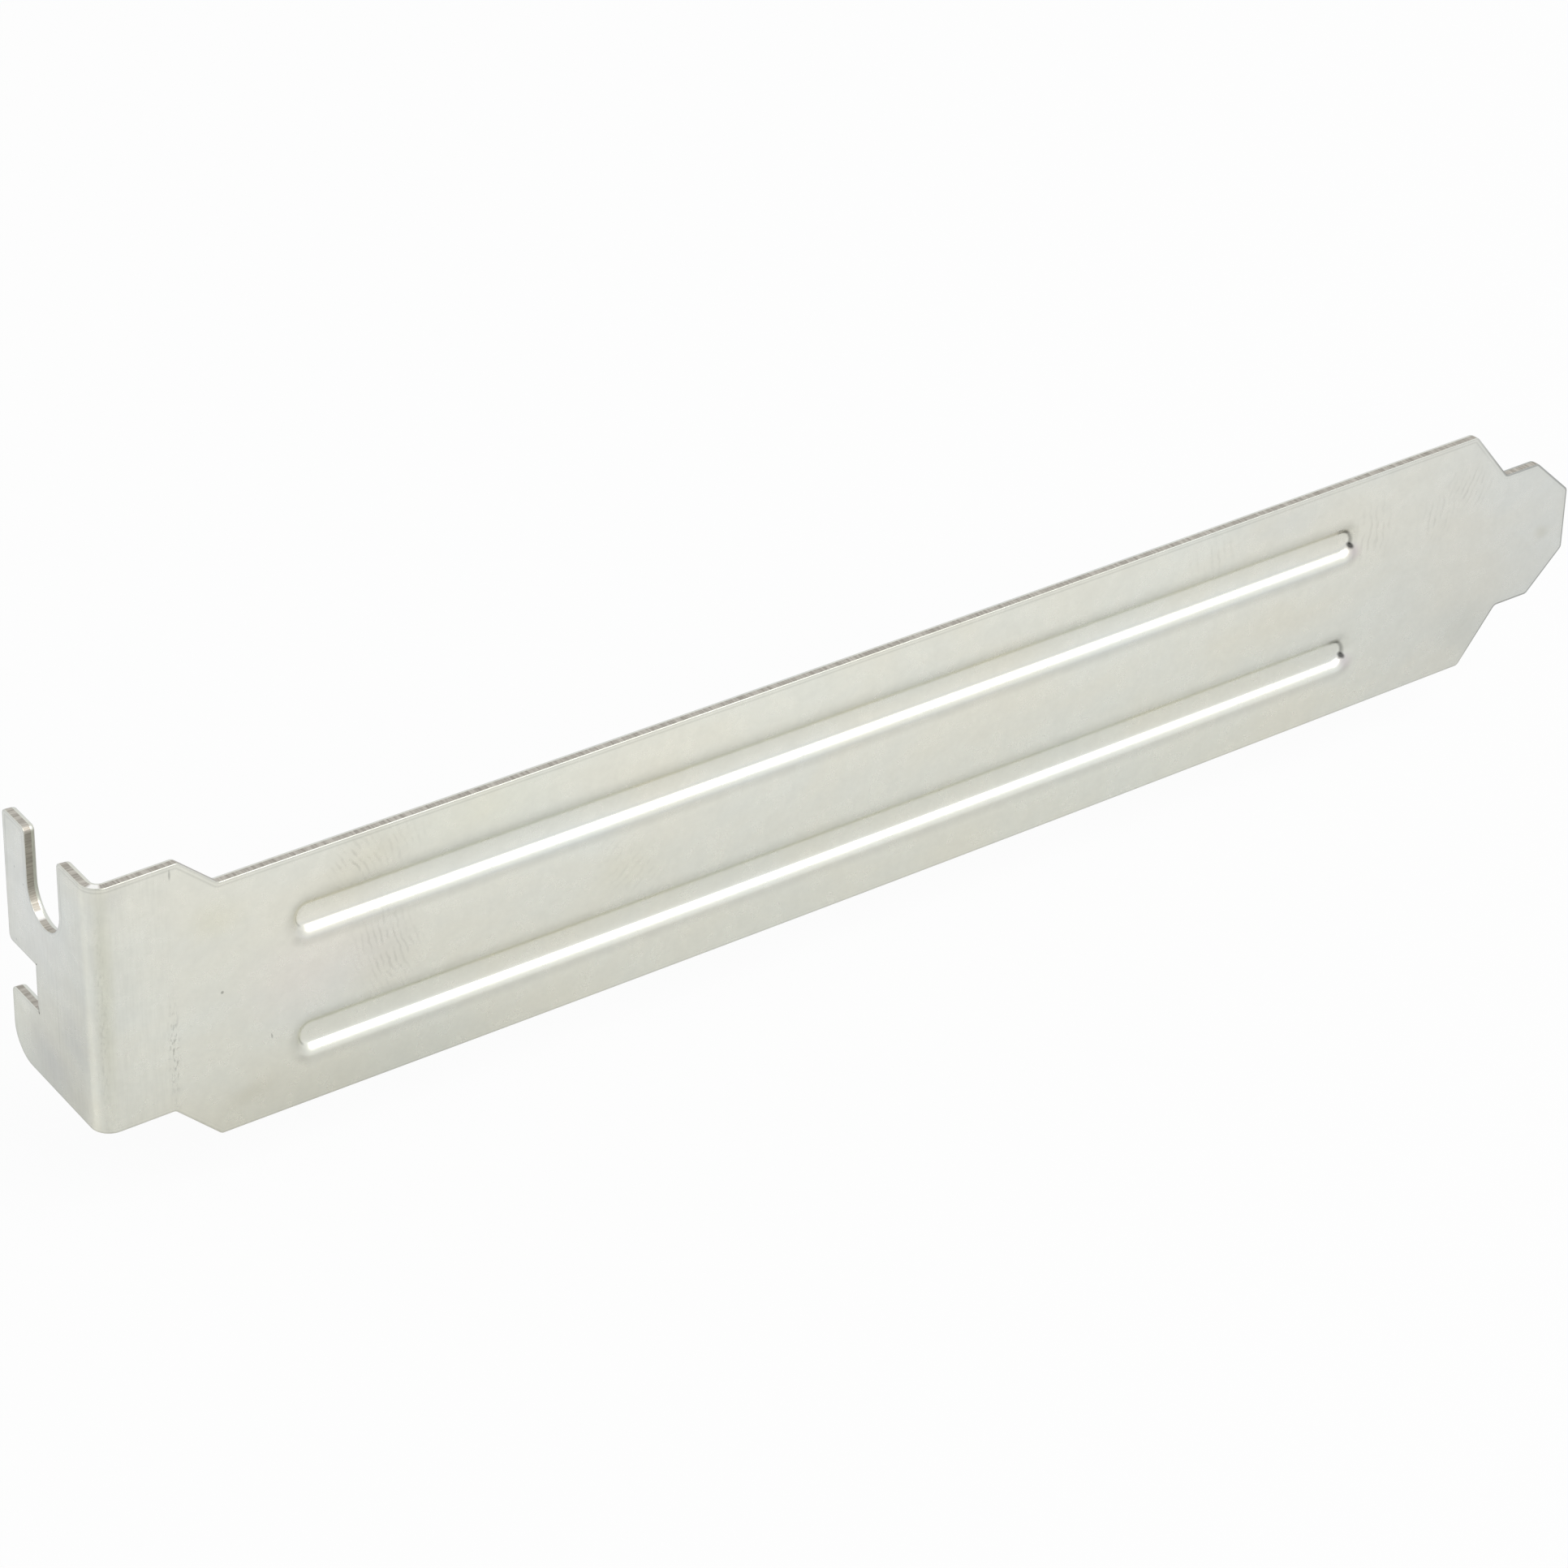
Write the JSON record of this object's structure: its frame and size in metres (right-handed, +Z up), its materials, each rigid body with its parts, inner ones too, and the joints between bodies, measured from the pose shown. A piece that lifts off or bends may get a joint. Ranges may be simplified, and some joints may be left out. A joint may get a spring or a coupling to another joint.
{
  "type": "expansion slot cover",
  "caption": "Folded sheet-steel cover for an empty expansion slot, with pressed stiffening ribs, a narrow end tab and a bent flange with an open screw slot and a notch.",
  "frame": {"origin": "middle of the screw slot's round end, on the face of the flange that seats on the case", "axes": "+X along the cover from the flange to the tab, +Y from the side that looks into the case to the outside, the way the flange points, +Z up across the width, as in a tower case"},
  "size_m": [0.12, 0.0114, 0.0208],
  "materials": {
    "plated_steel": "satin nickel plate over cold-rolled sheet, with grey cut edges"
  },
  "bodies": {
    "root": {"slot_cover": "plated_steel"}
  },
  "joints": []
}
